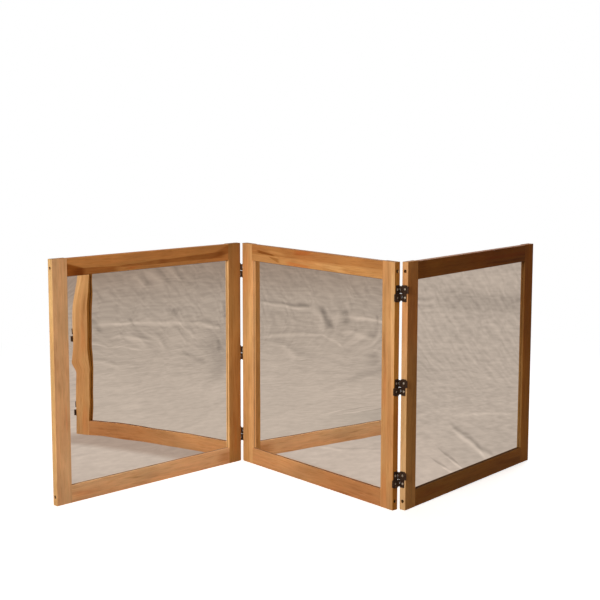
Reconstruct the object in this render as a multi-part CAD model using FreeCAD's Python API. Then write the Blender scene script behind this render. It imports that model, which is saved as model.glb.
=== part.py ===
import FreeCAD, Part
import math
import os

# Trifold vanity mirror: three square framed mirrors, joined edge to edge by double-action screen
# hinges, and standing in a zigzag. Millimetres, +Z up. The origin is the middle of the underside
# of the middle panel, +X is to the right of someone who faces the mirrors, and -Y points at them.
# Pieces are made with the three panels laid flat in one plane, in the middle panel's own frame
# (x along its width, -y its mirrored front), and carry() then folds and turns them.

# Framed panel
panel_width = 600.0
panel_height = 600.0
frame_thickness = 16.5
stile_width = 43.0
top_rail_width = 43.0
bottom_rail_width = 43.0
rail_drop = 1.0           # top of the top rail, below the stiles' ends
edge_round = 1.0          # outer arrises of the frame
sight_round = 0.6         # arrises round the mirror
end_round = 0.5           # arrises of the stiles' ends

# Groove that holds the pane and joins the frame
front_lip = 6.0           # wood in front of the mirror
pane_thickness = 3.0
backing_thickness = 3.0
groove_slack = 0.2
groove_depth = 8.0
groove_stop = 8.0         # solid wood left at each end of a stile
pane_margin = 0.5         # room round the edge of the pane and the backing
tongue_fit = 0.1          # room on each side of a rail's tongue
tongue_end_room = 0.3

# Screws that join the frame's corners
counterbore_radius = 4.0
counterbore_depth = 12.0
frame_screw_radius = 1.75
frame_screw_length = 55.0
frame_screw_tip = 4.0
frame_screw_head_radius = 3.5
frame_screw_head_height = 2.2
screw_fit = 0.05          # room round a screw in its hole
pilot_end_room = 1.0      # room beyond a screw's tip

# Double-action hinges
hinge_height = 40.0
hinge_end_distance = 75.0  # a panel's end to the centre of the nearest hinge, at the bottom
hinge_top_distance = 75.0  # and at the top
leaf_thickness = 1.4
leaf_setback = 3.0        # leaf's edge to the panel's face, where the leaf has no barrel
leaf_margin = 1.0         # the same where its barrel is
plate_corner = 2.0        # rounded corners of the leaves and links
link_thickness = 1.5
layer_room = 0.45         # between a leaf and a link that lie on each other
barrel_radius = 2.3
axis_offset = 1.25        # a hinge axis, outside the panel's face
half_slit = 0.75          # half the slit between the upper and the lower barrels
barrel_inset = 2.5        # a barrel's outer end, short of the plates' ends
knuckle_room = 0.25       # between two knuckles of one barrel
sweep_room = 0.3          # round a turning knuckle
pin_radius = 1.0
pin_fit = 0.05
pin_chamfer = 0.3
knuckle_count = 3         # in one barrel: leaf, link, leaf
hinge_screw_spacing = 20.0
hinge_screw_radius = 1.5
hinge_screw_length = 14.0
hinge_screw_tip = 3.0
hinge_screw_head_radius = 2.8
hinge_screw_seat_depth = 1.2
hinge_screw_crown = 0.5
access_radius = 3.8       # hole in a link, over a screw's head
recess_width = 0.8        # a screw head's cross recess
recess_depth = 0.6
recess_share = 0.62       # its length, as a share of the head's diameter

# How it stands
left_fold = 96.0          # left panel, swung to the front from flat, degrees
right_fold = 102.0        # right panel, swung to the back from flat, degrees
middle_turn = -49.4       # middle panel against +X, degrees

# Sizes that follow
half_thickness = frame_thickness / 2
groove_width = pane_thickness + backing_thickness + groove_slack
groove_front = front_lip - half_thickness
panel_gap = 2 * (leaf_thickness + layer_room) + link_thickness
axis_y = half_thickness + axis_offset
bottom_rail_top = bottom_rail_width
top_rail_top = panel_height - rail_drop
top_rail_bottom = top_rail_top - top_rail_width
shoulder = panel_width / 2 - stile_width   # where a rail meets a stile, from the panel's middle
pane_entry = groove_depth - pane_margin
half_hinge = hinge_height / 2
barrel_length = half_hinge - half_slit - barrel_inset
knuckle_length = (barrel_length - (knuckle_count - 1) * knuckle_room) / knuckle_count
sweep_radius = barrel_radius + sweep_room
hinge_heights = {
    "top": panel_height - hinge_top_distance,
    "middle": (hinge_end_distance + panel_height - hinge_top_distance) / 2,
    "bottom": hinge_end_distance,
}
frame_screw_heights = (bottom_rail_top / 2, (top_rail_bottom + top_rail_top) / 2)
TOUCH = 1e-6
UP = FreeCAD.Vector(0, 0, 1)
ORIGIN = FreeCAD.Vector(0, 0, 0)


def point(x, y, z):
    return FreeCAD.Vector(x, y, z)


def block(x, y, z):
    """Box between the two values of each of x, y and z, in either order."""
    low = [min(pair) for pair in (x, y, z)]
    high = [max(pair) for pair in (x, y, z)]
    size = [b - a for a, b in zip(low, high)]
    return Part.makeBox(*size, point(*low))


def rod(radius, length, base, axis):
    return Part.makeCylinder(radius, length, base, axis)


def ease(shape, radius, wanted):
    """Rounds the edges that wanted() picks by the box round each of them."""
    return shape.makeFillet(radius, [edge for edge in shape.Edges if wanted(edge.BoundBox)])


def upright_at(x):
    """Picks the vertical edges whose middle is at that x."""
    return lambda box: box.ZLength > 10 * box.XLength + TOUCH and abs(box.Center.x - x) < TOUCH


def level_at(z):
    """Picks the edges that lie level at that z."""
    return lambda box: box.ZLength < TOUCH and abs(box.Center.z - z) < TOUCH


def lengthwise_at(z):
    """Picks the edges along a rail at that z."""
    return lambda box: box.XLength > 10 * box.YLength + TOUCH and level_at(z)(box)


def carry(shapes, side, x, z=0.0):
    """Moves shapes made at x = 0, z = 0 to their place in the flat row, then folds them.

    side says which panel they ride on: left, middle or right.
    """
    joint_x = (panel_width + panel_gap) / 2
    folds = {
        "left": FreeCAD.Placement(ORIGIN, FreeCAD.Rotation(UP, left_fold), point(-joint_x, -axis_y, 0)),
        "middle": FreeCAD.Placement(),
        "right": FreeCAD.Placement(ORIGIN, FreeCAD.Rotation(UP, right_fold), point(joint_x, axis_y, 0)),
    }
    turn = FreeCAD.Placement(ORIGIN, FreeCAD.Rotation(UP, middle_turn))
    place = FreeCAD.Placement(point(x, 0, z), FreeCAD.Rotation())
    matrix = turn.multiply(folds[side]).multiply(place).toMatrix()
    return [shape.transformed(matrix) for shape in shapes]


def write(name, shapes):
    node = shapes[0] if len(shapes) == 1 else Part.Compound(shapes)
    node.exportStep("parts/" + name + ".step")
    print(name, len(node.Solids), "solids, valid" if node.isValid() else "solids, NOT VALID")


# ---------------------------------------------------------------- screws and pins

def screw(head_radius, crown, seat_depth, shank_radius, length, tip):
    """Pointed screw on the Z axis with its head up. The rim of its head is at z = 0, the crown
    rises above it, and the head tapers to the shank over seat_depth."""
    sphere = (head_radius ** 2 + crown ** 2) / (2 * crown)
    half_angle = math.asin(head_radius / sphere) / 2
    on_crown = point(sphere * math.sin(half_angle), 0, crown - sphere * (1 - math.cos(half_angle)))
    summit = point(0, 0, crown)
    rim = point(head_radius, 0, 0)
    corners = [
        rim,
        point(shank_radius, 0, -seat_depth),
        point(shank_radius, 0, tip - length),
        point(0, 0, -length),
        summit,
    ]
    edges = [Part.Arc(summit, on_crown, rim).toShape()]
    edges += [Part.LineSegment(a, b).toShape() for a, b in zip(corners, corners[1:])]
    solid = Part.Face(Part.Wire(edges)).revolve(ORIGIN, UP, 360)
    reach = recess_share * head_radius
    half = recess_width / 2
    depth = (crown - recess_depth, crown + recess_depth)
    cross = block((-reach, reach), (-half, half), depth).fuse(block((-half, half), (-reach, reach), depth))
    return solid.cut(cross)


def pin(length):
    """Hinge pin on the Z axis, from z = 0 up."""
    body = rod(pin_radius, length, ORIGIN, UP)
    return body.makeChamfer(pin_chamfer, [e for e in body.Edges if e.BoundBox.ZLength < TOUCH])


def aimed(shape, direction, position):
    """Turns a shape's +Z to the direction and puts its origin at the position."""
    rotation = FreeCAD.Rotation(UP, point(*direction))
    return shape.transformed(FreeCAD.Placement(position, rotation).toMatrix())


# ---------------------------------------------------------------- framed panel

def stile(side, hinged):
    """Upright of a panel: side -1 is its left edge and +1 its right edge, seen from the front."""
    outer = side * panel_width / 2
    inner = side * shoulder
    body = block((outer, inner), (-half_thickness, half_thickness), (0, panel_height))
    body = ease(body, edge_round, upright_at(outer))
    body = ease(body, sight_round, upright_at(inner))
    for end in (0, panel_height):
        body = ease(body, end_round, level_at(end))
    groove = block(
        (inner, inner + side * groove_depth),
        (groove_front, groove_front + groove_width),
        (groove_stop, panel_height - groove_stop),
    )
    body = body.cut(groove)
    for height in frame_screw_heights:
        start = point(outer, 0, height)
        inward = point(-side, 0, 0)
        body = body.cut(rod(counterbore_radius, counterbore_depth, start, inward))
        body = body.cut(rod(frame_screw_radius + screw_fit, stile_width, start, inward))
    if hinged:
        for height in hinge_heights.values():
            for offset in (-hinge_screw_spacing / 2, hinge_screw_spacing / 2):
                start = point(outer, 0, height + offset)
                depth = hinge_screw_length - leaf_thickness + pilot_end_room
                body = body.cut(rod(hinge_screw_radius + screw_fit, depth, start, point(-side, 0, 0)))
    return body


def rail(outer_z, inner_z, screw_z):
    """Cross member between the stiles, with a tongue at each end that fills the stiles' grooves."""
    inward = 1 if inner_z > outer_z else -1
    body = block((-shoulder, shoulder), (-half_thickness, half_thickness), (outer_z, inner_z))
    body = ease(body, edge_round, lengthwise_at(outer_z))
    body = ease(body, sight_round, lengthwise_at(inner_z))
    body = body.cut(block(
        (-shoulder, shoulder),
        (groove_front, groove_front + groove_width),
        (inner_z - inward * groove_depth, inner_z),
    ))
    stop = groove_stop if inward > 0 else panel_height - groove_stop
    tongue_reach = shoulder + groove_depth - tongue_end_room
    tongue = block(
        (-tongue_reach, tongue_reach),
        (groove_front + tongue_fit, groove_front + groove_width - tongue_fit),
        (stop + inward * tongue_fit, inner_z - inward * groove_depth),
    )
    body = body.fuse(tongue).removeSplitter()
    pilot = frame_screw_length + pilot_end_room + counterbore_depth
    for side in (-1, 1):
        start = point(side * panel_width / 2, 0, screw_z)
        body = body.cut(rod(frame_screw_radius + screw_fit, pilot, start, point(-side, 0, 0)))
    return body


def filling(front, thickness):
    """Flat sheet in the grooves of the frame, with its front at that y."""
    reach = shoulder + pane_entry
    return block(
        (-reach, reach),
        (front, front + thickness),
        (bottom_rail_top - pane_entry, top_rail_bottom + pane_entry),
    )


def frame_screws():
    """The four screws that hold a frame's corners, each at the bottom of its counterbore."""
    one = screw(
        frame_screw_head_radius, frame_screw_head_height, 0.0,
        frame_screw_radius, frame_screw_length, frame_screw_tip,
    )
    seat = panel_width / 2 - counterbore_depth
    return [
        aimed(one, (side, 0, 0), point(side * seat, 0, height))
        for side in (-1, 1)
        for height in frame_screw_heights
    ]


def write_panel(side):
    """Writes a panel's seven nodes. A stile carries hinges where another panel is beside it."""
    name = side + "_panel_"
    x = {"left": -1, "middle": 0, "right": 1}[side] * (panel_width + panel_gap)
    top_screw = frame_screw_heights[1]
    bottom_screw = frame_screw_heights[0]
    nodes = {
        "left_stile": [stile(-1, side != "left")],
        "right_stile": [stile(1, side != "right")],
        "top_rail": [rail(top_rail_top, top_rail_bottom, top_screw)],
        "bottom_rail": [rail(0, bottom_rail_top, bottom_screw)],
        "mirror_pane": [filling(groove_front, pane_thickness)],
        "backing_board": [filling(groove_front + pane_thickness, backing_thickness)],
        "frame_screws": frame_screws(),
    }
    for node, shapes in nodes.items():
        write(name + node, carry(shapes, side, x))


# ---------------------------------------------------------------- double-action hinge
# Each hinge is made flat, with the origin midway between the panels at the hinge's centre. It has
# two leaves alike, one turned half round the Z axis from the other. The left leaf has its upper
# barrel at the back and its lower one at the front. The upper link joins that upper back barrel
# to the right leaf's upper front one, and the lower link the two others.

def knuckle_span(index):
    """Lower and upper end of a knuckle of the upper barrel, counted from the slit."""
    start = half_slit + index * (knuckle_length + knuckle_room)
    return start, start + knuckle_length


def knuckle(index, y):
    low, high = knuckle_span(index)
    return rod(barrel_radius, high - low, point(0, y, low), UP)


def sweep(index, y):
    """Space that a knuckle and the room at its sides and ends take."""
    low, high = knuckle_span(index)
    length = high - low + 2 * knuckle_room
    return rod(sweep_radius, length, point(0, y, low - knuckle_room), UP)


def pin_bore(y):
    return rod(pin_radius + pin_fit, hinge_height, point(0, y, -half_hinge), UP)


def half_turn(shape, axis):
    turned = shape.copy()
    turned.rotate(ORIGIN, axis, 180)
    return turned


def corners_at(z):
    """Picks a plate's two corners at that z."""
    return lambda box: box.XLength > TOUCH and box.YLength < TOUCH and abs(box.Center.z - z) < TOUCH


def leaf():
    """Left leaf. Its lower half is its upper half turned round the X axis."""
    skin = -panel_gap / 2
    face = skin + leaf_thickness
    half = block((skin, face), (leaf_setback - half_thickness, half_thickness - leaf_margin), (0, half_hinge))
    half = ease(half, plate_corner, corners_at(half_hinge))
    for index in range(0, knuckle_count, 2):
        neck = block((-barrel_radius, face), (0, axis_y), knuckle_span(index))
        half = half.fuse(neck).fuse(knuckle(index, axis_y))
    for index in range(1, knuckle_count, 2):
        half = half.cut(sweep(index, axis_y))
    whole = half.fuse(half_turn(half, point(1, 0, 0))).removeSplitter()
    for y in (-axis_y, axis_y):
        whole = whole.cut(pin_bore(y))
    for height in (-hinge_screw_spacing / 2, hinge_screw_spacing / 2):
        hole = rod(hinge_screw_radius + screw_fit, leaf_thickness, point(skin, 0, height), point(1, 0, 0))
        seat = Part.makeCone(
            hinge_screw_head_radius + screw_fit, hinge_screw_radius + screw_fit, hinge_screw_seat_depth,
            point(face, 0, height), point(-1, 0, 0),
        )
        whole = whole.cut(hole).cut(seat)
    return whole


def upper_link():
    """Plate between the leaves, with a knuckle at each end and a hole over the screws' heads."""
    half = link_thickness / 2
    reach = axis_y - sweep_radius
    plate = block((-half, half), (-reach, reach), (half_slit, half_hinge))
    plate = ease(plate, plate_corner, corners_at(half_hinge))
    for index in range(1, knuckle_count, 2):
        plate = plate.fuse(block((-half, half), (-axis_y, axis_y), knuckle_span(index)))
        for y in (-axis_y, axis_y):
            plate = plate.fuse(knuckle(index, y))
    plate = plate.removeSplitter()
    for y in (-axis_y, axis_y):
        plate = plate.cut(pin_bore(y))
    opening = rod(access_radius, link_thickness, point(-half, 0, hinge_screw_spacing / 2), point(1, 0, 0))
    return plate.cut(opening)


def leaf_screws():
    """The left leaf's two screws."""
    one = screw(
        hinge_screw_head_radius, hinge_screw_crown, hinge_screw_seat_depth,
        hinge_screw_radius, hinge_screw_length, hinge_screw_tip,
    )
    face = leaf_thickness - panel_gap / 2
    return [
        aimed(one, (1, 0, 0), point(face, 0, height))
        for height in (-hinge_screw_spacing / 2, hinge_screw_spacing / 2)
    ]


def write_hinges(side):
    """Writes the three hinges between the middle panel and the one on that side.

    The upper links turn with the outer panel and the lower links stay with the middle one. A pin
    rides with the leaf that holds it.
    """
    right = side == "right"
    x = (1 if right else -1) * (panel_width + panel_gap) / 2
    left_leaf, link = leaf(), upper_link()
    right_leaf = half_turn(left_leaf, UP)
    lower_link = half_turn(link, point(1, 0, 0))
    left_screws = leaf_screws()
    right_screws = [half_turn(one, UP) for one in left_screws]
    one_pin = pin(barrel_length)
    upper, lower = half_slit, -half_slit - barrel_length
    left_pins = [one_pin.translated(point(0, axis_y, upper)), one_pin.translated(point(0, -axis_y, lower))]
    right_pins = [one_pin.translated(point(0, -axis_y, upper)), one_pin.translated(point(0, axis_y, lower))]
    left_rider, right_rider = ("middle", side) if right else (side, "middle")
    groups = {rider: {"screws": [], "pins": []} for rider in ("middle", side)}
    for place, z in hinge_heights.items():
        name = side + "_" + place + "_hinge_"
        leaf_names = {"middle": "middle_leaf", side: "outer_leaf"}
        write(name + leaf_names[left_rider], carry([left_leaf], left_rider, x, z))
        write(name + leaf_names[right_rider], carry([right_leaf], right_rider, x, z))
        write(name + "upper_link", carry([link], side, x, z))
        write(name + "lower_link", carry([lower_link], "middle", x, z))
        groups[left_rider]["screws"] += carry(left_screws, left_rider, x, z)
        groups[right_rider]["screws"] += carry(right_screws, right_rider, x, z)
        groups[left_rider]["pins"] += carry(left_pins, left_rider, x, z)
        groups[right_rider]["pins"] += carry(right_pins, right_rider, x, z)
    for rider, kinds in groups.items():
        where = "middle" if rider == "middle" else "outer"
        for kind, shapes in kinds.items():
            write(side + "_hinge_" + where + "_" + kind, shapes)


os.makedirs("parts", exist_ok=True)
for panel_side in ("left", "middle", "right"):
    write_panel(panel_side)
for hinge_side in ("left", "right"):
    write_hinges(hinge_side)
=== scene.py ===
"""Looks of a trifold vanity mirror: three framed mirrors on double-action screen hinges.

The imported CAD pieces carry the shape. This file gives each of them its finish, builds the studio
round them and places the camera. Lengths are metres, in the model's own frame.
"""

import logging
import math
from dataclasses import dataclass, field
from enum import Enum
from typing import Any

import bmesh
import bpy
import numpy as np
from mathutils import Matrix, Vector


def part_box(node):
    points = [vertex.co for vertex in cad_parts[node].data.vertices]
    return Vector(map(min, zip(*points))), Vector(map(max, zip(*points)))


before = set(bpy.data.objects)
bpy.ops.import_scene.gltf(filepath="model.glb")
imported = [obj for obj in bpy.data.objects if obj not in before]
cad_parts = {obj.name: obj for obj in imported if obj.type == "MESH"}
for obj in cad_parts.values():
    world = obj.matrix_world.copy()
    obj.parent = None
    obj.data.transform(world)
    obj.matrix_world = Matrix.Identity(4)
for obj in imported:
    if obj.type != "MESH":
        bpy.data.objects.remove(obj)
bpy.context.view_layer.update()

LOG = logging.getLogger("trifold_mirror")
MM = 0.001
SIDES = ("left", "middle", "right")

# Sockets of a colour Mix node, whose names are shared by its hidden ones
MIX_FACTOR, MIX_A, MIX_B, MIX_RESULT = 0, 6, 7, 2

Input = Any  # a Signal, a number, or a tuple of numbers for a colour or a vector
Pair = tuple[float, float]
Triple = tuple[float, float, float]
Tint = Triple


# ---------------------------------------- shader expressions


class Signal:
    """An output socket in a node tree. Its operators add Math nodes to that tree."""

    def __init__(self, graph: "Graph", socket: bpy.types.NodeSocket) -> None:
        """Wraps an output socket of a graph."""
        self.graph = graph
        self.socket = socket

    def sibling(self, name: str) -> "Signal":
        """Returns another output of the node that this one comes from."""
        return Signal(self.graph, self.socket.node.outputs[name])

    def __add__(self, other: Input) -> "Signal":
        """Returns self + other."""
        return self.graph.math("ADD", self, other)

    __radd__ = __add__

    def __sub__(self, other: Input) -> "Signal":
        """Returns self - other."""
        return self.graph.math("SUBTRACT", self, other)

    def __rsub__(self, other: Input) -> "Signal":
        """Returns other - self."""
        return self.graph.math("SUBTRACT", other, self)

    def __mul__(self, other: Input) -> "Signal":
        """Returns self * other."""
        return self.graph.math("MULTIPLY", self, other)

    __rmul__ = __mul__

    def __truediv__(self, other: Input) -> "Signal":
        """Returns self / other."""
        return self.graph.math("DIVIDE", self, other)

    def __rtruediv__(self, other: Input) -> "Signal":
        """Returns other / self."""
        return self.graph.math("DIVIDE", other, self)

    def __pow__(self, other: Input) -> "Signal":
        """Returns self ** other."""
        return self.graph.math("POWER", self, other)

    def __rpow__(self, other: Input) -> "Signal":
        """Returns other ** self."""
        return self.graph.math("POWER", other, self)

    def __abs__(self) -> "Signal":
        """Returns the size of self without its sign."""
        return self.graph.math("ABSOLUTE", self)

    def step(self, low: Input, high: Input) -> "Signal":
        """Returns 0 at low, 1 at high and a smooth change between them. High may be under low."""
        sockets = {"Value": self, "From Min": low, "From Max": high}
        return self.graph.node("MapRange", {"interpolation_type": "SMOOTHSTEP"}, sockets)

    def peak(self, centre: Input, half_width: float) -> "Signal":
        """Returns 1 at centre, falling smoothly to 0 at half_width on each side."""
        return abs(self - centre).step(half_width, 0.0)


class Graph:
    """Node tree of a material or a world."""

    def __init__(self, tree: bpy.types.NodeTree) -> None:
        """Empties a tree so that it can be built anew."""
        tree.nodes.clear()
        self.tree = tree

    def node(
        self,
        kind: str,
        settings: dict[str, Any] | None = None,
        sockets: dict[str | int, Input] | None = None,
        output: str | int = 0,
    ) -> Signal:
        """Adds a node.

        Args:
            kind: Node type, without its ShaderNode prefix.
            settings: Properties to set first.
            sockets: Value or link of each input that doesn't keep its default.
            output: Output that is returned.

        Returns:
            That output.
        """
        made = self.tree.nodes.new("ShaderNode" + kind)
        for name, value in (settings or {}).items():
            setattr(made, name, value)
        for name, value in (sockets or {}).items():
            socket = made.inputs[name]
            if isinstance(value, Signal):
                self.tree.links.new(value.socket, socket)
            else:
                socket.default_value = self.fitted(socket, value)
        return Signal(self, made.outputs[output])

    @staticmethod
    def fitted(socket: bpy.types.NodeSocket, value: Input) -> Input:
        """Returns a value in the form that a socket takes: a colour gets its alpha."""
        return (*value, 1.0) if socket.type == "RGBA" and len(value) == 3 else value

    def math(self, operation: str, *values: Input) -> Signal:
        """Adds a Math node on the given values and returns its result."""
        return self.node("Math", {"operation": operation}, dict(enumerate(values)))

    def vector(self, operation: str, *values: Input, output: str = "Vector") -> Signal:
        """Adds a Vector Math node on the given values and returns that output."""
        return self.node("VectorMath", {"operation": operation}, dict(enumerate(values)), output)

    def dot(self, one: Input, other: Input) -> Signal:
        """Returns the dot product of two vectors."""
        return self.vector("DOT_PRODUCT", one, other, output="Value")

    def scaled(self, vector: Signal, scale: Signal) -> Signal:
        """Returns a vector or a colour times a number."""
        return self.node("VectorMath", {"operation": "SCALE"}, {0: vector, "Scale": scale})

    def mix(self, factor: Input, a: Input, b: Input, blend: str = "MIX") -> Signal:
        """Blends colour b into colour a by a factor from 0 to 1, in the Mix node's blend type."""
        sockets = {MIX_FACTOR: factor, MIX_A: a, MIX_B: b}
        return self.node("Mix", {"data_type": "RGBA", "blend_type": blend}, sockets, MIX_RESULT)

    def join(self, x: Input, y: Input, z: Input) -> Signal:
        """Returns the vector of three numbers."""
        return self.node("CombineXYZ", sockets={0: x, 1: y, 2: z})

    def noise(self, place: Signal, scale: float, detail: float) -> Signal:
        """Returns noise about 0.5, with scale clouds per unit of place and detail finer octaves."""
        return self.node("TexNoise", None, {"Vector": place, "Scale": scale, "Detail": detail})

    def bump(self, height: Signal, distance: float) -> Signal:
        """Returns the normal of a surface raised by height, 0 to 1, times distance."""
        return self.node("Bump", None, {"Strength": 1.0, "Distance": distance, "Height": height})

    def finish(self, shader: Signal, target: str = "Material") -> None:
        """Links a surface shader to the output of the tree, which is a Material's or a World's."""
        made = self.tree.nodes.new("ShaderNodeOutput" + target)
        self.tree.links.new(shader.socket, made.inputs["Surface"])


def new_material(name: str) -> tuple[bpy.types.Material, Graph]:
    """Makes an empty node material.

    Args:
        name: Its name.

    Returns:
        The material and its graph.
    """
    material = bpy.data.materials.new(name)
    material.use_nodes = True
    return material, Graph(material.node_tree)


def paint(node: str, material: bpy.types.Material) -> None:
    """Gives a CAD node its only material."""
    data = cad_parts[node].data
    data.materials.clear()
    data.materials.append(material)
    data.polygons.foreach_set("material_index", np.zeros(len(data.polygons), np.int32))


def add_object(name: str, data: bpy.types.ID) -> bpy.types.Object:
    """Adds an object to the scene."""
    added = bpy.data.objects.new(name, data)
    bpy.context.scene.collection.objects.link(added)
    return added


# ---------------------------------------- places, from the frame


def middle(node: str) -> Vector:
    """Returns the middle of a CAD node's box."""
    low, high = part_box(node)
    return (low + high) / 2


def reach(node: str, axis: Vector) -> float:
    """Returns a CAD node's size along an axis."""
    corners = np.array([v.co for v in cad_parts[node].data.vertices])
    along = corners @ np.array(axis)
    return float(along.max() - along.min())


@dataclass(frozen=True)
class PanelAxes:
    """Axes of one framed panel: along its width, and through it from front to back."""

    along: Vector
    through: Vector

    @classmethod
    def of(cls, side: str) -> "PanelAxes":
        """Finds a panel's axes from its two stiles."""
        along = middle(f"{side}_panel_right_stile") - middle(f"{side}_panel_left_stile")
        along = Vector((along.x, along.y, 0.0)).normalized()
        return cls(along, Vector((-along.y, along.x, 0.0)))


# ---------------------------------------- finishes


class Figure(Enum):
    """What a streak in the wood is, by the tint that it gives the wood round it. The pale tint is also
    used for painted light on some boards.
    """

    HEART = (0.52, 0.36, 0.18)
    RUDDY = (0.98, 0.74, 0.62)
    # Sapwood's pale tint, also used for painted light
    SAP = (1.24, 1.42, 1.62)


HEART, RUDDY, SAP = Figure


@dataclass(frozen=True)
class Streak:
    """A band of other wood along the grain, from one place on the board's face to another.

    Places are along and across the board, from its middle. Some pale bands are painted light, not
    other wood.
    """

    figure: Figure
    start: Pair
    end: Pair
    half_width: Pair
    strength: float = 0.6
    soft: float = 0.6
    fade: float = 0.02
    wander: float = 4.0 * MM

    def mask(self, g: Graph, u: Signal, v: Signal, sway: Signal) -> Signal:
        """Finds how far a point lies in the streak.

        Args:
            g: Graph of the board's material.
            u: Place along the board.
            v: Place across the board.
            sway: Noise about 0, which bends the streak.

        Returns:
            The streak's share, from 0 to its strength.
        """
        (u0, v0), (u1, v1) = self.start, self.end
        way = (u - u0) / (u1 - u0)
        centre = way * (v1 - v0) + v0 + sway * (2.0 * self.wander)
        near, far = self.half_width
        width = g.math("MAXIMUM", way * (far - near) + near, 0.5 * MM)
        across = (abs(v - centre) / width).step(1.0 + self.soft / 2, 1.0 - self.soft / 2)
        along = u.step(u0 - self.fade / 2, u0 + self.fade) * u.step(u1 + self.fade / 2, u1 - self.fade)
        return across * along * self.strength


@dataclass(frozen=True)
class Plank:
    """How one board looks: its colour, how it was sawn from its log, and its streaks.

    Rings are circles about the log's heart, whose place is across and through the board from the
    middle of its section. The side's tint lightens or darkens the narrow faces against the wide ones:
    painted light and shade, for how the lamps fall on each face.
    """

    colour: Tint
    heart: Pair
    streaks: tuple[Streak, ...]
    ruddy: float
    seed: float
    lean: float = 0.0
    # Painted light and shade of the narrow faces
    side: Tint = (1.0, 1.0, 1.0)


@dataclass(frozen=True)
class Marks:
    """Marks drawn out along the grain: so many in a metre along it, and so many across it.

    Where they have a span, they begin at its first value of the noise and are full at its second.
    The others are their share of their tint, and how far they lighten, roughen and raise the wood.
    """

    along: float
    across: float
    detail: float
    span: Pair | None = None
    share: float = 0.0
    light: float = 0.0
    rough: float = 0.0
    height: float = 0.0

    def at(self, g: Graph, u: Signal, v: Signal, w: Signal) -> Signal:
        """Returns how marked a place along, across and through the board is, from 0 to 1."""
        noise = g.noise(g.join(u * self.along, v * self.across, w * self.across), 1.0, self.detail)
        return noise.step(*self.span) if self.span else noise


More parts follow.
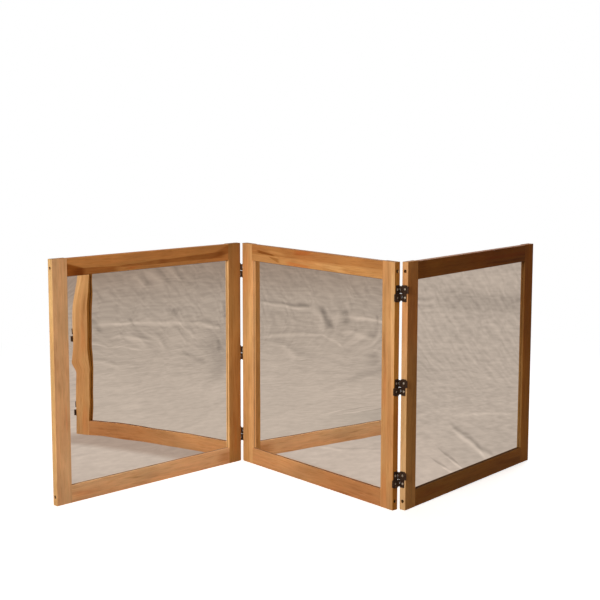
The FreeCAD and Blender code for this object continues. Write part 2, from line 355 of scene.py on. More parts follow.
@dataclass(frozen=True)
class OiledCherry:
    """Honey-brown cherry with an oil finish."""

    late_tint: Tint = (0.84, 0.75, 0.66)
    late_share: float = 0.55
    late_height: float = 0.12
    pore_tint: Tint = (0.78, 0.70, 0.60)
    honey_tint: Tint = (1.05, 1.14, 1.08)
    ring_pitch: float = 2.6 * MM
    ring_unevenness: float = 1.7
    ring_rise: Pair = (0.25, 0.88)
    ring_end: Pair = (1.0, 0.92)
    wander: float = 9.0 * MM
    bends: Marks = Marks(5.0, 9.0, 2.0)
    fibres: Marks = Marks(28.0, 900.0, 3.0, light=0.30, height=0.45)
    pores: Marks = Marks(110.0, 2100.0, 1.0, (0.60, 0.72), share=0.35, rough=0.10, height=-0.55)
    bands: Marks = Marks(3.5, 130.0, 3.0, light=0.36, height=0.35)
    clouds: Marks = Marks(9.0, 28.0, 3.0, light=0.58, rough=0.12)
    blushes: Marks = Marks(3.0, 16.0, 3.0, (0.40, 0.66))
    dashes: Marks = Marks(26.0, 300.0, 2.0, (0.50, 0.70), share=0.65)
    dash_bend: float = 0.02
    honey: Marks = Marks(8.0, 90.0, 2.0, (0.48, 0.72), share=0.30)
    rubbing: Marks = Marks(40.0, 60.0, 2.0, (0.3, 0.7), light=0.10, rough=-0.08)
    end_light: float = -0.28
    end_rough: float = 0.18
    # Painted shade in the counterbores, also standing for their darker end grain
    painted_bore_shade: float = -0.72
    roughness: float = 0.50
    gloss: float = 0.06
    relief: float = 0.12 * MM

    def rings(self, g: Graph, plank: Plank, u: Signal, v: Signal, w: Signal, sway: Signal) -> Signal:
        """Draws growth rings: a soft rise of late wood, then a sharp end.

        Args:
            g: Graph of the board's material.
            plank: How the board was sawn.
            u: Place along the board.
            v: Place across the board.
            w: Place through the board.
            sway: Noise about 0, by which the log's heart wanders.

        Returns:
            The share of late wood, from 0 to 1.
        """
        from_heart_v = v - plank.heart[0] - u * plank.lean + sway * (2.0 * self.wander)
        from_heart_w = w - plank.heart[1] + sway * self.wander
        radius = g.math("SQRT", from_heart_v * from_heart_v + from_heart_w * from_heart_w)
        uneven = g.noise(g.join(radius * 130.0, u * 1.5, plank.seed), 1.0, 1.0)
        phase = g.math("FRACT", radius / self.ring_pitch + uneven * self.ring_unevenness)
        strength = g.noise(g.join(radius * 60.0, u, plank.seed + 3.0), 1.0, 2.0).step(0.3, 0.75)
        return phase.step(*self.ring_rise) * phase.step(*self.ring_end) * strength

    def material(self, board: "Board") -> bpy.types.Material:
        """Makes the material of one board.

        Args:
            board: Board that it dresses.

        Returns:
            The material.
        """
        material, g = new_material("wood_" + board.node)
        plank = board.plank
        u, v, w = board.coordinates(g)
        shifted = u + plank.seed
        sway = self.bends.at(g, shifted, v, w) - 0.5
        late = self.rings(g, plank, u, v, w, sway)
        fibre, pore, band, cloud, blush, honey, worn = (
            marks.at(g, shifted, v, w) for marks in (
                self.fibres, self.pores, self.bands, self.clouds, self.blushes, self.honey, self.rubbing)
        )
        dash = self.dashes.at(g, shifted, v + sway * self.dash_bend, w)
        end = board.end_grain(g)
        rubbed = board.arrises(g) * worn

        tints = (
            (late * self.late_share, self.late_tint),
            (blush * plank.ruddy, RUDDY.value),
            (honey * self.honey.share, self.honey_tint),
            *((streak.mask(g, u, v, sway), streak.figure.value) for streak in plank.streaks),
            (dash * self.dashes.share, self.late_tint),
            (pore * self.pores.share, self.pore_tint),
            # Painted light and shade: the narrow faces get their own lighter or darker tint
            (board.narrow_faces(g), plank.side),
        )
        colour = plank.colour
        for share, tint in tints:
            colour = g.mix(share, colour, tint, "MULTIPLY")

        light = 1.0 + (band - 0.5) * self.bands.light + (cloud - 0.5) * self.clouds.light
        light = light + (fibre - 0.5) * self.fibres.light
        light = light * (1.0 + end * self.end_light) * (1.0 + rubbed * self.rubbing.light)
        # Painted shade in the counterbores and round their mouths, with their darker end grain
        light = light * (1.0 + board.bore_shade_mask(g) * self.painted_bore_shade)
        rough = self.roughness + (cloud - 0.5) * self.clouds.rough + pore * self.pores.rough
        rough = rough + end * self.end_rough + rubbed * self.rubbing.rough
        height = fibre * self.fibres.height + pore * self.pores.height
        height = height + late * self.late_height + band * self.bands.height
        g.finish(g.node("BsdfPrincipled", None, {
            "Base Color": g.scaled(colour, light),
            "Roughness": rough,
            "Specular IOR Level": self.gloss,
            "Normal": g.bump(height, self.relief),
        }))
        return material


@dataclass(frozen=True)
class Silvering:
    """Silvered sheet: a clean mirror, a little wavy like all thin sheet, with a painted shadow at its
    border.
    """

    tint: Tint = (0.93, 0.935, 0.925)
    rebate_shadow: Tint = (0.09, 0.055, 0.03)
    rebate_shadow_width: float = 1.6 * MM
    rebate_shadow_share: float = 0.7
    roughness: float = 0.004
    haze: float = 0.010
    ripple_length: float = 110 * MM
    ripple_height: float = 0.25 * MM

    def material(self, pane: "Pane") -> bpy.types.Material:
        """Makes the material of one pane.

        Args:
            pane: Pane that it dresses.

        Returns:
            The material.
        """
        material, g = new_material("silver_" + pane.node)
        place = g.vector("ADD", g.node("TexCoord", output="Object"), (pane.seed, pane.seed, 0.0))
        ripple = g.noise(place, 1.0 / self.ripple_length, 1.0) * self.ripple_height
        haze = g.noise(place, 9.0, 4.0).step(0.5, 0.9)
        # Painted shadow: the pane darkens next to the frame, where the groove would shade it
        shadow = pane.border(g).step(self.rebate_shadow_width * 1.3, self.rebate_shadow_width * 0.7)
        g.finish(g.node("BsdfPrincipled", None, {
            "Base Color": g.mix(shadow * self.rebate_shadow_share, self.tint, self.rebate_shadow),
            "Metallic": 1.0,
            "Roughness": self.roughness + haze * self.haze,
            "Normal": g.bump(pane.warp(g) + ripple, 1.0),
        }))
        return material


@dataclass(frozen=True)
class Hardboard:
    """Brown pressed board with short fibres in its face."""

    base: Tint = (0.215, 0.118, 0.058)
    fibre: Tint = (0.38, 0.235, 0.125)
    stain: Tint = (0.12, 0.06, 0.03)
    roughness: float = 0.62
    gloss: float = 0.3
    relief: float = 0.15 * MM

    def material(self, name: str) -> bpy.types.Material:
        """Makes the board's material, under that name."""
        material, g = new_material(name)
        place = g.node("TexCoord", output="Object")
        felt = g.noise(place, 420.0, 4.0)
        cloud = g.noise(place, 14.0, 4.0)
        lay = g.noise(g.vector("MULTIPLY", place, (160.0, 160.0, 900.0)), 1.0, 2.0)
        colour = g.mix(felt.step(0.45, 0.75) * 0.55, self.base, self.fibre)
        colour = g.mix(lay.step(0.55, 0.8) * 0.25, colour, self.fibre)
        colour = g.mix((cloud - 0.3) * 0.5, colour, self.stain)
        g.finish(g.node("BsdfPrincipled", None, {
            "Base Color": colour,
            "Roughness": self.roughness + (felt - 0.5) * 0.2,
            "Specular IOR Level": self.gloss,
            "Normal": g.bump(felt + lay * 0.5, self.relief),
        }))
        return material


@dataclass(frozen=True)
class Patina:
    """A worn metal finish: a dark coat with the metal showing through where hands rub it."""

    coat: Tint
    bare: Tint
    wear: float
    roughness: float
    metallic: float = 0.9
    relief: float = 0.02 * MM

    def material(self, name: str) -> bpy.types.Material:
        """Makes the metal's material, under that name."""
        material, g = new_material(name)
        place = g.node("TexCoord", output="Object")
        cloud = g.noise(place, 160.0, 4.0)
        grit = g.noise(place, 2400.0, 2.0)
        worn = (cloud + (grit - 0.5) * 0.35).step(0.72 - self.wear, 0.86 - self.wear * 0.5)
        g.finish(g.node("BsdfPrincipled", None, {
            "Base Color": g.mix(worn, self.coat, self.bare),
            "Metallic": self.metallic,
            "Roughness": self.roughness + (cloud - 0.5) * 0.3 - worn * 0.06,
            "Normal": g.bump(grit, self.relief),
        }))
        return material


WOOD = OiledCherry()
SILVER = Silvering()
BACKING = Hardboard()
BRONZE = Patina(
    coat=(0.050, 0.027, 0.016), bare=(0.19, 0.095, 0.050), wear=0.16, roughness=0.46, metallic=0.75)
NICKEL = Patina(coat=(0.47, 0.42, 0.34), bare=(0.70, 0.65, 0.56), wear=0.25, roughness=0.34)
ZINC = Patina(coat=(0.16, 0.14, 0.115), bare=(0.34, 0.31, 0.26), wear=0.15, roughness=0.46)


# ---------------------------------------- framed panels


class Grain(Enum):
    """Which way a member's grain runs."""

    UPRIGHT = "upright"
    LEVEL = "level"


@dataclass
class Board:
    """One wooden member of a frame."""

    node: str
    axes: PanelAxes
    grain: Grain
    plank: Plank
    bore_radius: float = 4.0 * MM
    bore_softness: float = 0.3 * MM
    bore_mouth: Pair = (0.2 * MM, 2.0 * MM)
    rim_width: float = 0.9 * MM
    rim_shade: float = 0.3
    screw_head_radius: float = 3.5 * MM
    arris: float = 1.6 * MM

    @property
    def long_axis(self) -> Vector:
        """Returns the direction of the grain."""
        return Vector((0.0, 0.0, 1.0)) if self.grain is Grain.UPRIGHT else self.axes.along

    @property
    def cross_axis(self) -> Vector:
        """Returns the direction across the board's face."""
        return self.axes.along if self.grain is Grain.UPRIGHT else Vector((0.0, 0.0, 1.0))

    def coordinates(self, g: Graph) -> tuple[Signal, Signal, Signal]:
        """Finds where a point lies in the board.

        Args:
            g: Graph of the board's material.

        Returns:
            Place along the grain, across the face and through the board, from its middle.
        """
        place = g.node("TexCoord", output="Object")
        place = g.vector("SUBTRACT", place, tuple(middle(self.node)))
        return tuple(
            g.dot(place, tuple(axis))
            for axis in (self.long_axis, self.cross_axis, self.axes.through)
        )

    def narrow_faces(self, g: Graph) -> Signal:
        """Returns 1 on the board's narrow faces and 0 on its wide ones, for their painted light and shade.
        """
        facing = abs(g.dot(g.node("TexCoord", output="Normal"), tuple(self.cross_axis)))
        return facing.step(0.6, 0.85)

    def end_grain(self, g: Graph) -> Signal:
        """Returns 1 on faces that cut the grain and 0 on faces along it."""
        facing = abs(g.dot(g.node("TexCoord", output="Normal"), tuple(self.long_axis)))
        return facing.step(0.6, 0.8)

    def arrises(self, g: Graph) -> Signal:
        """Returns 1 on the board's long edges, where hands rub it."""
        _, v, w = self.coordinates(g)
        half_width = reach(self.node, self.cross_axis) / 2
        half_depth = reach(self.node, self.axes.through) / 2
        near_side = abs(v).step(half_width - self.arris, half_width)
        near_face = abs(w).step(half_depth - self.arris, half_depth)
        return near_side * near_face

    def bore_shade_mask(self, g: Graph) -> Input:
        """Returns 1 inside the counterbores over the frame screws, and 0 elsewhere. This marks their
        painted shade, which also stands for their darker end grain.
        """
        if self.grain is Grain.LEVEL:
            return 0.0
        u, v, w = self.coordinates(g)
        screws = self.node.rsplit("_", 2)[0] + "_frame_screws"
        low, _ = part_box(screws)
        height = middle(self.node).z - low.z - self.screw_head_radius
        gap = g.math("SQRT", (abs(u) - height) ** 2.0 + w ** 2.0)
        half_width = reach(self.node, self.cross_axis) / 2
        inside = abs(v).step(*(half_width - depth for depth in self.bore_mouth))
        wall = gap.step(self.bore_radius + self.bore_softness, self.bore_radius) * inside
        rim = gap.step(self.bore_radius + self.rim_width, self.bore_radius) * self.rim_shade
        return g.math("MAXIMUM", wall, rim)

    def dress(self) -> None:
        """Gives the board its wood."""
        paint(self.node, WOOD.material(self))


@dataclass(frozen=True)
class Warp:
    """How a pane departs from flat: bent toward its far end, leaning, and dented by that end.

    Heights are at the far end or at the top. The far end is -1 for the left and +1 for the right.
    """

    far: int = 1
    bend: float = 0.0
    lean: float = 0.0
    twist: float = 0.0
    dent: float = 0.0
    dent_reach: float = 0.17
    dent_low: Pair = (0.535, 0.60)
    dent_high: Pair = (1.02, 0.84)


@dataclass
class Pane:
    """The silvered sheet of one panel."""

    side: str
    axes: PanelAxes
    bow: Warp
    seed: float

    @property
    def node(self) -> str:
        """Returns the pane's CAD node."""
        return f"{self.side}_panel_mirror_pane"

    def frame_box(self) -> tuple[float, float, float]:
        """Returns half the width, the bottom and the top of the frame's opening."""
        left, right = (middle(f"{self.side}_panel_{name}_stile") for name in ("left", "right"))
        stile = reach(f"{self.side}_panel_left_stile", self.axes.along)
        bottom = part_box(f"{self.side}_panel_bottom_rail")[1].z
        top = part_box(f"{self.side}_panel_top_rail")[0].z
        return ((right - left).length - stile) / 2, bottom, top

    def coordinates(self, g: Graph) -> tuple[Signal, Signal]:
        """Returns the place along the pane, from its middle, and the height."""
        place = g.node("TexCoord", output="Object")
        from_middle = g.vector("SUBTRACT", place, tuple(middle(self.node)))
        height = g.node("SeparateXYZ", sockets={0: place}, output="Z")
        return g.dot(from_middle, tuple(self.axes.along)), height

    def border(self, g: Graph) -> Signal:
        """Returns the distance to the nearest side of the opening."""
        half, bottom, top = self.frame_box()
        u, z = self.coordinates(g)
        return g.math("MINIMUM", half - abs(u), g.math("MINIMUM", z - bottom, top - z))

    def warp(self, g: Graph) -> Signal:
        """Returns how far the pane stands out from flat."""
        half, bottom, top = self.frame_box()
        u, z = self.coordinates(g)
        out = u * (self.bow.far * 0.5 / half) + 0.5
        up = (z - bottom) / (top - bottom)
        edge = g.math("MAXIMUM", out - (1.0 - self.bow.dent_reach), 0.0) / self.bow.dent_reach
        dent = edge * edge * up.step(*self.bow.dent_low) * up.step(*self.bow.dent_high) * self.bow.dent
        return out ** 3.0 * self.bow.bend + up * self.bow.lean + out * up * self.bow.twist + dent

    def dress(self) -> None:
        """Silvers the pane."""
        paint(self.node, SILVER.material(self))


@dataclass
class FramedPanel:
    """One mirror in its wooden frame."""

    side: str
    bow: Warp
    seed: float
    axes: PanelAxes = field(init=False)

    def __post_init__(self) -> None:
        """Finds the panel's axes."""
        self.axes = PanelAxes.of(self.side)

    def dress_frame(self) -> None:
        """Gives each of the four members its own board."""
        for member in ("left_stile", "right_stile", "top_rail", "bottom_rail"):
            node = f"{self.side}_panel_{member}"
            grain = Grain.UPRIGHT if member.endswith("stile") else Grain.LEVEL
            Board(node, self.axes, grain, PLANKS[node]).dress()
            LOG.info("board %s", node)

    def dress_sheets(self) -> None:
        """Silvers the pane and finishes the board behind it."""
        Pane(self.side, self.axes, self.bow, self.seed).dress()
        paint(f"{self.side}_panel_backing_board", BACKING.material("hardboard_" + self.side))
        LOG.info("sheets of the %s panel", self.side)

    def dress_screws(self) -> None:
        """Finishes the screws in the frame's corners."""
        paint(f"{self.side}_panel_frame_screws", ZINC.material("zinc_" + self.side))

    def build(self) -> None:
        """Dresses the whole panel."""
        self.dress_frame()
        self.dress_sheets()
        self.dress_screws()


@dataclass
class HingeRow:
    """The three hinges between the middle panel and an outer one."""

    side: str

    def build(self) -> None:
        """Dresses the leaves, links, pins and screws."""
        bronze = BRONZE.material("bronze_" + self.side)
        nickel = NICKEL.material("nickel_" + self.side)
        for place in ("top", "middle", "bottom"):
            for plate in ("middle_leaf", "outer_leaf", "upper_link", "lower_link"):
                paint(f"{self.side}_{place}_hinge_{plate}", bronze)
        for leaf in ("middle", "outer"):
            paint(f"{self.side}_hinge_{leaf}_pins", bronze)
            paint(f"{self.side}_hinge_{leaf}_screws", nickel)
        LOG.info("hinges on the %s", self.side)


# ---------------------------------------- studio


@dataclass
class Camera:
    """Camera that stands in front of the middle panel, above the mirrors."""

    place: Triple = (0.0511, -3.2565, 0.9311)
    pitch_down: float = 7.556
    roll: float = 0.304
    lens: float = 77.98
    sensor_width: float = 36.0
    shift: Pair = (-0.06, -0.0142)

    def build(self) -> None:
        """Adds the camera and makes it the scene's."""
        data = bpy.data.cameras.new("camera")
        data.lens = self.lens
        data.sensor_width = self.sensor_width
        data.shift_x, data.shift_y = self.shift
        camera = add_object("camera", data)
        level = Matrix.Rotation(math.radians(90.0 - self.pitch_down), 4, "X")
        rolled = Matrix.Rotation(math.radians(self.roll), 4, "Z")
        camera.matrix_world = Matrix.Translation(self.place) @ level @ rolled
        bpy.context.scene.camera = camera
        LOG.info("camera")


@dataclass
class Lamp:
    """A soft box that points at the mirrors."""

    name: str
    azimuth: float
    elevation: float
    distance: float
    size: float
    level: float
    tint: Tint = (1.0, 1.0, 1.0)
    aim: Triple = (0.0, 0.0, 0.3)

    def build(self) -> None:
        """Adds the lamp. At level 1 a white surface that faces it renders white."""
        data = bpy.data.lights.new(self.name, "AREA")
        data.shape = "SQUARE"
        data.size = self.size
        data.color = self.tint
        data.energy = self.level * math.pi ** 2 * self.distance ** 2
        lamp = add_object(self.name, data)
        a, e = math.radians(self.azimuth), math.radians(self.elevation)
        outward = Vector((math.sin(a) * math.cos(e), -math.cos(a) * math.cos(e), math.sin(e)))
        lamp.location = Vector(self.aim) + outward * self.distance
        lamp.rotation_mode = "QUATERNION"
        lamp.rotation_quaternion = outward.to_track_quat("Z", "Y")
        LOG.info("lamp %s", self.name)


@dataclass(frozen=True)
class Fold:
    """A crease in the canvas, from one place to another: round the drop, and up it.

    Its upper or right side is shaded, and the other side catches the light.
    """

    start: Pair
    end: Pair
    half_width: float
    dark: float = 0.0
    light: float = 0.0

    def shade(self, g: Graph, t: Signal, w: Signal) -> Signal:
        """Finds how much lighter or darker the crease makes a place.

        Args:
            g: Graph of the canvas. Not used.
            t: Place round the drop.
            w: Place up the drop.

        Returns:
            The change of shade, about 0.
        """
        run = Vector(self.end) - Vector(self.start)
        along = ((t - self.start[0]) * run.x + (w - self.start[1]) * run.y) / run.length_squared
        from_line = (w - self.start[1]) * run.x - (t - self.start[0]) * run.y
        across = from_line / (run.length * self.half_width)
        within = along.step(-0.12, 0.18) * along.step(1.12, 0.82)
        return (across.peak(-0.7, 1.4) * self.light - across.peak(0.7, 1.4) * self.dark) * within


@dataclass
class Floor:
    """White floor that keeps the object's shadow, and turns to pure white away from it."""

    radius: float = 9.0
    pale: Tint = (0.9, 0.9, 0.9)
    bounce: Tint = (0.50, 0.45, 0.38)
    glow: float = 0.66
    fading: Pair = (0.9, 2.4)

    def build(self) -> None:
        """Lays the floor."""
        mesh = bpy.data.meshes.new("floor")
        r = self.radius
        mesh.from_pydata([(-r, -r, 0), (r, -r, 0), (r, r, 0), (-r, r, 0)], [], [(0, 1, 2, 3)])
        floor = add_object("floor", mesh)
        floor.visible_glossy = False
        material, g = new_material("floor")
        seen = g.node("LightPath", output="Is Camera Ray")
        place = g.node("TexCoord", output="Object")
        away = g.vector("LENGTH", place, output="Value").step(*self.fading)
        pale = g.mix(seen, self.bounce, self.pale)
        pale = g.mix(seen * away, pale, (0.0, 0.0, 0.0))
        glow = seen * (1.0 - away) * self.glow + seen * away
        g.finish(g.node("BsdfPrincipled", None, {
            "Base Color": pale,
            "Roughness": 1.0,
            "Specular IOR Level": 0.0,
            "Emission Color": g.join(glow, glow, glow),
            "Emission Strength": 1.0,
        }))
        mesh.materials.append(material)
        LOG.info("floor")


@dataclass
class CanvasDrop:
    """Crumpled canvas that the mirrors reflect. It glows with painted light and shade, as under a low
    lamp. Nothing else sees it.

    It lies on the floor, sweeps up and hangs. Pitches are crumples in a metre, and steps lead away
    from the lamp. Eye is the distance from which its crumples look alike near and far.
    """

    radius: float = 2.5
    height: float = 2.4
    sweep: float = 0.5
    sides: int = 240
    rows: int = 90
    sunk: float = 1.0 * MM
    turn_scale: float = 2.2
    seam: float = 1.0
    apart: float = 2.1
    eye: float = 3.3
    tilt: float = 0.2
    hung_pitch: float = 26.0
    hung_slant: float = 1.3
    level_pitch: Pair = (8.0, 60.0)
    fine_pitch: Triple = (34.0, 34.0, 60.0)
    sag_pitch: Pair = (4.0, 10.0)
    step: Triple = (0.12, 0.42, 0.0)
    fine_step: Triple = (0.25, -0.35, 0.35)
    # Painted light and shade of the canvas, from underfoot up, and its painted foot shadow
    low: Tint = (0.612, 0.500, 0.420)
    mid: Tint = (0.485, 0.391, 0.324)
    high: Tint = (0.352, 0.260, 0.202)
    corner: Tint = (0.508, 0.420, 0.352)
    painted_foot_shadow: Tint = (0.385, 0.275, 0.215)
    painted_foot_shadow_width: float = 0.11

    def profile(self) -> list[Pair]:
        """Returns the drop's radius and height at each row, from the middle of the floor up."""
        flat = self.radius - self.sweep
        curved = self.sweep * math.pi / 2
        total = flat + curved + (self.height - self.sweep)
        rows = []
        for i in range(self.rows + 1):
            s = total * i / self.rows
            if s <= flat:
                rows.append((s, 0.0))
            elif s <= flat + curved:
                a = (s - flat) / self.sweep
                rows.append((flat + self.sweep * math.sin(a), self.sweep * (1 - math.cos(a))))
            else:
                rows.append((self.radius, self.sweep + s - flat - curved))
        return rows

    def build(self) -> None:
        """Hangs the canvas."""
        mesh = bpy.data.meshes.new("canvas")
        bm = bmesh.new()
        rings = []
        for radius, height in self.profile():
            ring = []
            for i in range(self.sides):
                a = 2 * math.pi * i / self.sides
                place = (radius * math.cos(a), radius * math.sin(a), height - self.sunk)
                ring.append(bm.verts.new(place))
            rings.append(ring)
        for lower, upper in zip(rings, rings[1:]):
            for i in range(self.sides):
                j = (i + 1) % self.sides
                bm.faces.new((lower[i], lower[j], upper[j], upper[i]))
        bm.normal_update()
        for face in bm.faces:
            face.smooth = True
        bm.to_mesh(mesh)
        bm.free()
        canvas = add_object("canvas", mesh)
        canvas.visible_camera = canvas.visible_diffuse = canvas.visible_shadow = False
        canvas.visible_transmission = canvas.visible_volume_scatter = False
        mesh.materials.append(self.cloth())
        LOG.info("canvas")

    @staticmethod
    def crumple(g: Graph, place: Signal, aside: Triple) -> Signal:
        """Returns a shade about 0, by how far the crumples' noise falls over a step aside."""
        return g.noise(place, 1.0, 3.0) - g.noise(g.vector("ADD", place, aside), 1.0, 3.0)

    def cloth(self) -> bpy.types.Material:
        """Makes the canvas's material."""
        material, g = new_material("canvas")
        place = g.node("TexCoord", output="Object")
        x = g.node("SeparateXYZ", sockets={0: place})
        y, z = x.sibling("Y"), x.sibling("Z")
        flat = g.vector("MULTIPLY", place, (1.0, 1.0, 0.0))
        distance = g.vector("LENGTH", flat, output="Value")

        # Places round the drop and up it. Round it they count both ways from one seam, so that they
        # run to the right in all the mirrors: two of these face each other and show it turned twice
        turn = g.math("ARCTAN2", x, y * -1.0) * self.turn_scale
        t = abs(turn - self.seam)
        w = distance * self.tilt + z

        # The crumples don't narrow toward the middle, as the places round the drop do. At the seam
        # they lose their slant and differ from one side to the other, so that it doesn't show
        ahead = self.seam + t.step(1.8, 2.2) * self.apart
        spread = (self.radius + self.eye) / self.radius
        widen = distance / (distance + self.eye) * spread
        s = (t - ahead) * widen
        slant = (g.math("SMOOTH_MAX", t, 0.3, 0.3) - ahead) * widen * self.hung_slant
        apart = turn * 3.0 + turn.peak(self.seam + 0.4, 0.5) * 4.0
        hung = g.join(s * self.hung_pitch, (w + slant) * self.hung_pitch, apart)
        level = g.join(s * self.level_pitch[0], w * self.level_pitch[1], apart)
        hung, level = (self.crumple(g, each, self.step) for each in (hung, level))
        fine = self.crumple(g, g.vector("MULTIPLY", place, self.fine_pitch), self.fine_step)
        up_the_drop = distance.step(1.1, 2.0)
        relief = hung * up_the_drop * 0.40 + level * 0.28 + fine * (0.46 - up_the_drop * 0.18)
        sag = g.noise(g.join(s * self.sag_pitch[0], w * self.sag_pitch[1], 23.0), 1.0, 2.0) - 0.5
        shade = 1.0 + (relief + sag * 0.26) * (0.55 + distance.step(0.25, 1.5) * 0.45)
        for fold in FOLDS:
            shade = shade + fold.shade(g, t, w)

        # Painted light and shade: paler underfoot and toward the lit corner, darker where it hangs, and a
        # painted shadow at the mirrors' feet
        base = g.mix(w.step(0.02, 0.50), self.low, self.mid)
        base = g.mix(w.step(0.50, 0.80), base, self.high)
        corner = t.step(2.45, 2.80) * distance.step(0.35, 0.60)
        base = g.mix(corner * 0.9, base, self.corner)
        # Painted shadow on the floor in front of the middle panel's foot
        out = g.dot(place, tuple(-PanelAxes.of("middle").through))
        painted_foot_shadow = out.step(self.painted_foot_shadow_width * 1.2, self.painted_foot_shadow_width * 0.7) * out.step(-0.02, 0.0)
        base = g.mix(painted_foot_shadow * distance.step(0.36, 0.26) * 0.75, base, self.painted_foot_shadow)
        # The canvas glows: its painted light and shade stand in for lamplight on it
        g.finish(g.node("Emission", None, {"Color": g.scaled(base, shade)}))
        return material


@dataclass
class Studio:
    """Floor, canvas drop, lamps, camera and world."""

    fill: Tint = (1.0, 0.68, 0.40)
    fill_strength: float = 0.10

    def world(self) -> None:
        """Sets a dim warm fill, with white where the background itself is seen."""
        world = bpy.data.worlds.new("studio")
        world.use_nodes = True
        bpy.context.scene.world = world
        g = Graph(world.node_tree)
        ray = g.node("LightPath", output="Is Camera Ray")
        seen = g.math("MAXIMUM", ray, g.math(
            "MAXIMUM", ray.sibling("Is Glossy Ray"), ray.sibling("Is Transmission Ray")))
        colour = g.mix(seen, self.fill, (1.0, 1.0, 1.0))
        strength = self.fill_strength + seen * (1.0 - self.fill_strength)
        g.finish(g.node("Background", None, {"Color": colour, "Strength": strength}), "World")

    def build(self) -> None:
        """Builds the whole studio."""
        Floor().build()
        CanvasDrop().build()
        self.world()
        for lamp in LAMPS:
            lamp.build()
        Camera().build()


# ---------------------------------------- lamps, creases and boards

LAMPS = (
    Lamp("key", azimuth=-28.0, elevation=19.0, distance=3.4, size=0.8, level=0.76, tint=(1.0, 0.975, 0.94)),
    Lamp("back", azimuth=160.0, elevation=40.0, distance=3.2, size=1.6, level=0.5),
)

FOLDS: tuple[Fold, ...] = (
    # Seen in the left mirror: creases that cross it, a spot between them, and leaf-shaped dents
    Fold((0.95, 0.493), (1.25, 0.462), 0.013, dark=0.04, light=0.30),
    Fold((1.29, 0.462), (1.41, 0.420), 0.014, dark=0.12, light=0.24),
    Fold((1.225, 0.465), (1.305, 0.375), 0.006, light=0.18),
    Fold((1.31, 0.378), (1.46, 0.360), 0.010, light=0.08),
    Fold((1.185, 0.505), (1.215, 0.495), 0.022, dark=0.24),
    Fold((1.075, 0.725), (1.110, 0.655), 0.016, dark=0.14, light=0.15),
    Fold((1.120, 0.735), (1.165, 0.648), 0.016, dark=0.15, light=0.15),
    Fold((1.175, 0.757), (1.226, 0.665), 0.015, dark=0.12, light=0.14),
    Fold((1.060, 0.430), (1.105, 0.350), 0.016, dark=0.11, light=0.12),
    Fold((1.125, 0.422), (1.195, 0.336), 0.015, dark=0.10, light=0.12),
    Fold((1.210, 0.425), (1.280, 0.345), 0.012, dark=0.08, light=0.10),
    Fold((1.400, 0.535), (1.430, 0.455), 0.012, dark=0.22),
    Fold((1.42, 0.345), (1.47, 0.290), 0.012, dark=0.18),
    Fold((1.33, 0.36), (1.60, 0.15), 0.060, dark=0.15),
    Fold((0.72, 0.084), (0.92, 0.077), 0.004, light=0.12),
    # Seen in the middle mirror: the same creases, larger, from the other side
    Fold((0.61, 0.540), (0.84, 0.523), 0.010, dark=0.28, light=0.24),
    Fold((0.845, 0.530), (0.915, 0.418), 0.018, dark=0.36, light=0.14),
    Fold((0.933, 0.515), (0.968, 0.438), 0.015, dark=0.30, light=0.10),
    Fold((1.045, 0.508), (1.072, 0.452), 0.009, dark=0.22),
    Fold((0.66, 0.368), (0.91, 0.392), 0.012, dark=0.06, light=0.22),
    Fold((0.995, 0.416), (1.125, 0.382), 0.010, dark=0.14, light=0.20),
    Fold((0.917, 0.392), (1.090, 0.331), 0.005, light=0.18),
    Fold((0.75, 0.461), (0.85, 0.440), 0.010, dark=0.08, light=0.07),
    Fold((0.785, 0.332), (0.97, 0.270), 0.013, dark=0.11, light=0.12),
    Fold((1.25, 0.302), (1.43, 0.246), 0.011, dark=0.20),
    # Seen in the middle mirror, underfoot
    Fold((4.86, 0.090), (5.00, 0.076), 0.0040, dark=0.10, light=0.10),
    Fold((4.53, 0.089), (4.76, 0.092), 0.0050, dark=0.14, light=0.06),
    Fold((4.31, 0.068), (4.74, 0.075), 0.0030, dark=0.08, light=0.12),
    Fold((3.71, 0.075), (4.41, 0.068), 0.0022, dark=0.12),
    Fold((4.39, 0.108), (4.54, 0.099), 0.0080, dark=0.09),
    # Seen in the right mirror: a shaded band high up, and stiff creases near the floor
    Fold((2.92, 0.709), (3.11, 0.705), 0.009, dark=0.03, light=0.08),
    Fold((2.92, 0.678), (2.995, 0.668), 0.010, dark=0.12, light=0.06),
    Fold((2.92, 0.652), (2.990, 0.643), 0.009, dark=0.11, light=0.05),
    Fold((3.02, 0.640), (3.42, 0.628), 0.055, dark=0.17),
    Fold((2.887, 0.234), (3.33, 0.244), 0.0045, light=0.14),
    Fold((2.85, 0.200), (2.975, 0.138), 0.016, dark=0.25, light=0.24),
    Fold((2.94, 0.146), (3.05, 0.131), 0.010, dark=0.18, light=0.16),
    Fold((2.605, 0.134), (2.65, 0.110), 0.014, dark=0.28, light=0.26),
    Fold((2.44, 0.118), (2.49, 0.103), 0.011, dark=0.24, light=0.20),
)

WARPS: dict[str, Warp] = {
    "left": Warp(far=-1, bend=5.9 * MM, lean=-2.8 * MM, twist=-4.7 * MM, dent=0.36 * MM),
    "middle": Warp(far=1, lean=3.0 * MM),
    "right": Warp(far=1, lean=0.8 * MM, bend=-0.8 * MM),
}

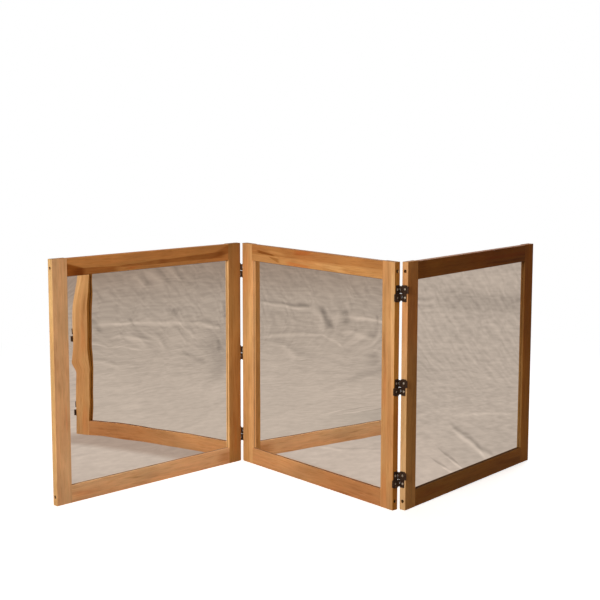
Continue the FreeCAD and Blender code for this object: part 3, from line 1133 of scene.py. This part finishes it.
PLANKS: dict[str, Plank] = {
    # The left panel's left stile and bottom rail are paler, and its right stile and top rail darker, partly
    # by their own tone and partly by painted light that the middle mirror throws on the lower boards
    "left_panel_left_stile": Plank(
        colour=(0.745, 0.425, 0.21), heart=(0.010, 0.055), side=(0.94, 1.03, 0.90), ruddy=0.3, seed=1.3,
        streaks=(
            Streak(RUDDY, (-0.12, 0.012), (-0.05, 0.009), (0.003, 0.002), 0.5),
            Streak(HEART, (0.13, -0.005), (0.19, -0.007), (0.004, 0.002), 0.16, fade=0.04),
            # Paler low down: painted light thrown from the middle mirror
            Streak(SAP, (-0.30, 0.0), (-0.12, 0.0), (0.06, 0.06), 0.14, fade=0.1),
        ),
    ),
    "left_panel_right_stile": Plank(
        colour=(0.43, 0.212, 0.066), heart=(-0.02, 0.045), side=(1.53, 1.80, 2.50), ruddy=0.4, seed=2.9,
        streaks=(
            Streak(RUDDY, (-0.28, 0.002), (-0.17, 0.0), (0.006, 0.003), 0.6, fade=0.04),
            Streak(HEART, (-0.24, -0.005), (-0.02, -0.004), (0.002, 0.001), 0.2, fade=0.05),
        ),
    ),
    "left_panel_top_rail": Plank(
        colour=(0.58, 0.252, 0.074), heart=(-0.045, 0.02), lean=0.02, ruddy=0.3, seed=4.1,
        streaks=(
            Streak(HEART, (-0.275, -0.004), (-0.205, -0.014), (0.018, 0.009), 1.0, soft=0.4, fade=0.012),
            Streak(HEART, (-0.245, -0.013), (-0.105, -0.014), (0.010, 0.006), 0.66, 0.4, wander=2 * MM),
            Streak(HEART, (-0.110, -0.010), (0.045, -0.007), (0.002, 0.006), 0.54, 0.4, wander=2 * MM),
            Streak(HEART, (0.020, -0.008), (0.245, -0.004), (0.004, 0.009), 0.66, 0.4, wander=2 * MM),
            Streak(HEART, (0.205, -0.004), (0.280, 0.014), (0.007, 0.013), 0.58, fade=0.03),
            Streak(RUDDY, (-0.08, -0.016), (-0.04, -0.016), (0.003, 0.003), 0.8),
        ),
    ),
    "left_panel_bottom_rail": Plank(
        colour=(0.78, 0.455, 0.232), heart=(0.005, 0.05), lean=-0.03, ruddy=0.5, seed=5.2,
        streaks=(
            Streak(HEART, (0.215, 0.004), (0.275, -0.004), (0.012, 0.016), 0.42, fade=0.03),
            Streak(HEART, (-0.10, 0.008), (-0.04, 0.002), (0.002, 0.002), 0.35),
            Streak(HEART, (-0.08, -0.012), (-0.03, -0.015), (0.002, 0.002), 0.3),
            Streak(RUDDY, (-0.25, -0.002), (-0.19, -0.006), (0.006, 0.004), 0.5),
        ),
    ),
    "middle_panel_left_stile": Plank(
        colour=(0.614, 0.332, 0.131), heart=(0.015, 0.06), side=(1.3, 1.32, 1.48), ruddy=0.3, seed=7.7,
        streaks=(
            Streak(SAP, (-0.32, 0.014), (-0.10, 0.012), (0.008, 0.005), 0.35, fade=0.06),
            Streak(SAP, (0.01, 0.010), (0.20, 0.012), (0.005, 0.008), 0.30, fade=0.06),
            Streak(RUDDY, (0.16, -0.008), (0.30, -0.008), (0.012, 0.012), 0.4, fade=0.06),
        ),
    ),
    "middle_panel_right_stile": Plank(
        colour=(0.59, 0.303, 0.119), heart=(-0.012, 0.06), side=(0.76, 0.60, 0.27), ruddy=0.3, seed=8.4,
        streaks=(
            # A pale streak of sapwood, made stronger for the sheen that the left mirror shows on it: partly
            # painted sheen
            Streak(SAP, (-0.03, 0.019), (0.32, 0.017), (0.006, 0.008), 0.85, fade=0.08, wander=2 * MM),
            Streak(SAP, (0.05, 0.006), (0.32, 0.002), (0.010, 0.016), 0.20, fade=0.08),
            Streak(HEART, (0.06, -0.013), (0.13, -0.015), (0.003, 0.003), 0.42, fade=0.03),
            Streak(HEART, (0.22, -0.001), (0.31, -0.003), (0.0009, 0.0012), 0.55, wander=1 * MM),
            Streak(RUDDY, (-0.06, -0.012), (0.05, -0.009), (0.007, 0.004), 0.5, fade=0.04),
            Streak(RUDDY, (-0.31, -0.008), (-0.20, -0.010), (0.012, 0.006), 0.6, fade=0.04),
        ),
    ),
    "middle_panel_top_rail": Plank(
        colour=(0.478, 0.209, 0.064), heart=(0.06, 0.03), lean=0.012, ruddy=0.3, seed=9.6,
        streaks=(
            Streak(SAP, (-0.28, -0.012), (0.28, -0.011), (0.009, 0.012), 0.75, soft=0.3, wander=2 * MM),
            Streak(SAP, (0.0, -0.006), (0.12, -0.014), (0.002, 0.008), 0.60, soft=0.3),
            Streak(RUDDY, (-0.11, -0.016), (-0.01, -0.018), (0.005, 0.003), 0.9, soft=0.4),
            Streak(HEART, (-0.235, 0.006), (-0.160, -0.001), (0.004, 0.002), 0.85, soft=0.4, fade=0.012),
            Streak(HEART, (-0.185, -0.005), (-0.140, -0.014), (0.001, 0.006), 0.6, soft=0.4, fade=0.01),
            Streak(RUDDY, (-0.08, 0.012), (-0.01, 0.017), (0.006, 0.004), 0.9, fade=0.02),
            Streak(SAP, (-0.19, 0.010), (-0.11, 0.004), (0.003, 0.004), 0.6),
        ),
    ),
    "middle_panel_bottom_rail": Plank(
        colour=(0.50, 0.237, 0.093), heart=(-0.01, 0.05), ruddy=0.3, seed=11.1,
        streaks=(
            Streak(SAP, (-0.30, 0.0), (0.00, 0.0), (0.06, 0.06), 0.50, fade=0.14),
            Streak(HEART, (0.10, -0.017), (0.155, -0.016), (0.003, 0.003), 0.45),
            Streak(SAP, (0.17, -0.011), (0.21, -0.002), (0.003, 0.003), 0.4),
            Streak(RUDDY, (0.02, 0.0), (0.28, 0.0), (0.03, 0.03), 0.35, fade=0.08),
        ),
    ),
    # The right panel's boards are darker and more saturated than the others: painted shade, for the side
    # that the key lamp barely reaches
    "right_panel_left_stile": Plank(
        colour=(0.66, 0.326, 0.101), heart=(0.012, 0.05), side=(0.94, 1.13, 1.67), ruddy=0.2, seed=12.5,
        streaks=(
            Streak(RUDDY, (0.08, 0.0), (0.32, 0.0), (0.03, 0.03), 0.7, fade=0.1),
            # Paler low down: painted light bounced from the floor
            Streak(SAP, (-0.36, 0.0), (-0.10, 0.0), (0.03, 0.03), 0.28, fade=0.1),
        ),
    ),
    "right_panel_right_stile": Plank(
        colour=(0.43, 0.155, 0.022), heart=(-0.015, 0.05), side=(0.62, 0.80, 1.5), ruddy=0.3, seed=14.2,
        # Paler toward the bottom: painted light bounced from the floor
        streaks=(Streak(SAP, (-0.36, 0.0), (0.04, 0.0), (0.04, 0.04), 0.8, fade=0.14),),
    ),
    "right_panel_top_rail": Plank(
        colour=(0.342, 0.121, 0.018), heart=(-0.03, 0.045), ruddy=0.4, seed=15.8,
        streaks=(
            Streak(HEART, (0.05, -0.010), (0.28, -0.015), (0.002, 0.004), 0.45, fade=0.05),
            Streak(RUDDY, (0.04, 0.003), (0.28, 0.000), (0.003, 0.006), 0.7, fade=0.05),
            Streak(HEART, (-0.28, 0.0), (-0.22, 0.0), (0.02, 0.02), 0.2, fade=0.02),
            Streak(SAP, (-0.24, 0.0), (0.0, 0.0), (0.03, 0.03), 0.28, fade=0.06),
            Streak(HEART, (0.0, 0.0), (0.32, 0.0), (0.03, 0.03), 0.22, fade=0.12),
        ),
    ),
    "right_panel_bottom_rail": Plank(
        colour=(0.40, 0.175, 0.034), heart=(0.01, 0.05), lean=-0.04, side=(0.45, 0.45, 0.5), ruddy=0.4,
        seed=17.3,
        streaks=(
            Streak(RUDDY, (-0.26, 0.004), (-0.10, -0.004), (0.010, 0.006), 0.5, fade=0.04),
            Streak(HEART, (0.12, 0.006), (0.27, -0.012), (0.004, 0.008), 0.35, fade=0.04),
        ),
    ),
}


def main() -> None:
    """Dresses the mirrors and builds the studio round them."""
    logging.basicConfig(level=logging.INFO, format="%(name)s: %(message)s")
    bpy.context.scene.view_settings.view_transform = "Standard"
    for number, side in enumerate(SIDES):
        FramedPanel(side, WARPS[side], seed=3.0 * number).build()
    for side in ("left", "right"):
        HingeRow(side).build()
    Studio().build()


if __name__ == "__main__":
    main()
